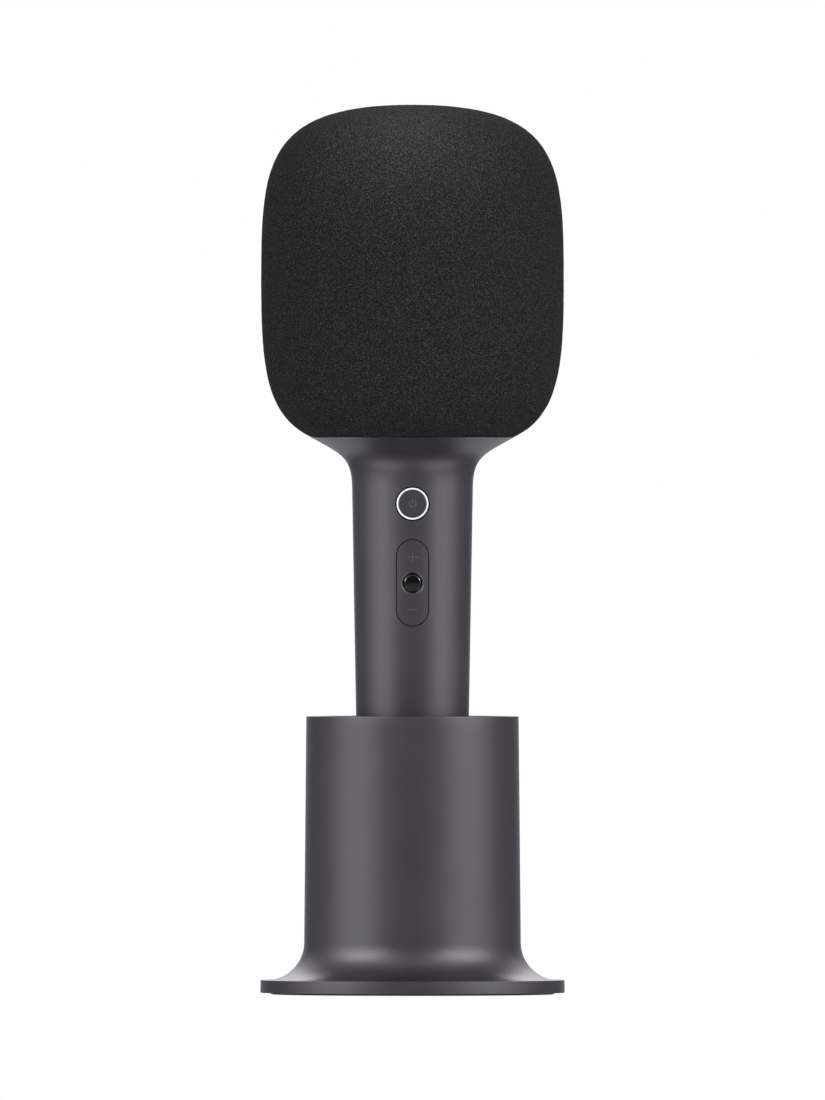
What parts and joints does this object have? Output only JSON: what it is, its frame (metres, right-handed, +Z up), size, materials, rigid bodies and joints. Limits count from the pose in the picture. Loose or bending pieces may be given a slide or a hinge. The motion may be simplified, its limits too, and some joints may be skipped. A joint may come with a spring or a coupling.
{
  "type": "karaoke microphone",
  "caption": "Handheld karaoke microphone with a large foam-covered head, a tapered grey metal handle with power and volume controls, standing in a matching round weighted storage base.",
  "frame": {"origin": "centre of the storage base foot, on the surface it stands on", "axes": "+Z up along the axis of the handle and head; -Y is the front, where the power button and the volume stick are; +X is to the right seen from the front"},
  "size_m": [0.0886, 0.0886, 0.2586],
  "materials": {
    "satin_grey_metal": "satin bead-blasted anodised, dark warm grey",
    "foam": "open-cell acoustic foam, charcoal",
    "black_gloss": "polished black",
    "bright_metal": "polished bright chamfer",
    "plated_steel": "plated pressed steel",
    "screw_steel": "zinc plated",
    "ballast_iron": "machined cast iron",
    "light_guide": "diffusing white acrylic",
    "black_plastic": "fine textured moulding",
    "rubber": "matt moulded",
    "circuit_board": "solder-masked laminate",
    "cell_wrap": "heat-shrunk film",
    "paper_cone": "coated paper",
    "lead_insulation": "silicone insulation"
  },
  "bodies": {
    "storage_base": {"stand_shell": "satin_grey_metal", "stand_insert": "black_plastic", "insert_pad": "rubber", "ballast_ring": "ballast_iron", "base_cover": "black_plastic", "rubber_foot": "rubber", "base_screw_1": "screw_steel", "base_screw_2": "screw_steel", "base_screw_3": "screw_steel"},
    "microphone": {"audio_jack": "plated_steel", "battery_cell": "cell_wrap", "battery_lead": "lead_insulation", "battery_strap": "rubber", "button_board": "circuit_board", "button_board_screw_1": "screw_steel", "button_board_screw_2": "screw_steel", "capsule_bracket": "black_plastic", "capsule_mount": "rubber", "chassis": "black_plastic", "control_plate": "satin_grey_metal", "end_cap": "satin_grey_metal", "end_cap_screw_1": "screw_steel", "end_cap_screw_2": "screw_steel", "grille_basket": "plated_steel", "handle_shell": "satin_grey_metal", "joystick_housing": "plated_steel", "light_ring": "light_guide", "main_board": "circuit_board", "main_board_screw_1": "screw_steel", "main_board_screw_2": "screw_steel", "mic_capsule": "plated_steel", "mic_lead": "lead_insulation", "neck_collar": "plated_steel", "port_board": "circuit_board", "port_lead": "lead_insulation", "power_switch": "black_plastic", "shield_can": "plated_steel", "speaker_chamber": "black_plastic", "speaker_frame_left": "black_plastic", "speaker_frame_right": "black_plastic", "speaker_lead_left": "lead_insulation", "speaker_lead_right": "lead_insulation", "speaker_magnet_left": "plated_steel", "speaker_magnet_right": "plated_steel", "speaker_surround_left": "rubber", "speaker_surround_right": "rubber", "usb_shell": "plated_steel", "usb_tongue": "black_plastic", "windscreen": "foam"},
    "power_press_button": {"power_button": "satin_grey_metal", "switch_plunger": "black_plastic"},
    "joystick_press_carriage": {"joystick_carriage": "black_plastic"},
    "joystick_gimbal_ring": {"joystick_gimbal": "plated_steel"},
    "joystick_knob": {"joystick_stick": "black_plastic", "joystick_bezel": "bright_metal", "joystick_cap": "black_gloss"},
    "left_cone": {"speaker_cone_left": "paper_cone"},
    "right_cone": {"speaker_cone_right": "paper_cone"}
  },
  "joints": [
    {"name": "mic_lift", "type": "slide", "parent": "storage_base", "child": "microphone", "axis": [0, 0, 1], "range_m": [0, 0.072]},
    {"name": "power_press", "type": "slide", "parent": "microphone", "child": "power_press_button", "axis": [0, 1, 0], "range_m": [0, 0.0004], "stiffness_N_per_m": 400, "springref_m": -0.0005},
    {"name": "joystick_press", "type": "slide", "parent": "microphone", "child": "joystick_press_carriage", "axis": [0, 1, 0], "range_m": [0, 0.0003], "stiffness_N_per_m": 400, "springref_m": -0.0005},
    {"name": "joystick_up_down", "type": "hinge", "parent": "joystick_press_carriage", "child": "joystick_gimbal_ring", "pos_m": [0, -0.0109, 0.1196], "axis": [1, 0, 0], "range_deg": [-3.5, 3.5], "stiffness_Nm_per_rad": 0.02},
    {"name": "joystick_left_right", "type": "hinge", "parent": "joystick_gimbal_ring", "child": "joystick_knob", "pos_m": [0, -0.0109, 0.1196], "axis": [0, 0, 1], "range_deg": [-3.5, 3.5], "stiffness_Nm_per_rad": 0.02},
    {"name": "left_cone_travel", "type": "slide", "parent": "microphone", "child": "left_cone", "axis": [-1, 0, 0], "range_m": [-0.0005, 0.0005], "stiffness_N_per_m": 500, "deforming": ["speaker_surround_left"]},
    {"name": "right_cone_travel", "type": "slide", "parent": "microphone", "child": "right_cone", "axis": [1, 0, 0], "range_m": [-0.0005, 0.0005], "stiffness_N_per_m": 500, "deforming": ["speaker_surround_right"]}
  ]
}
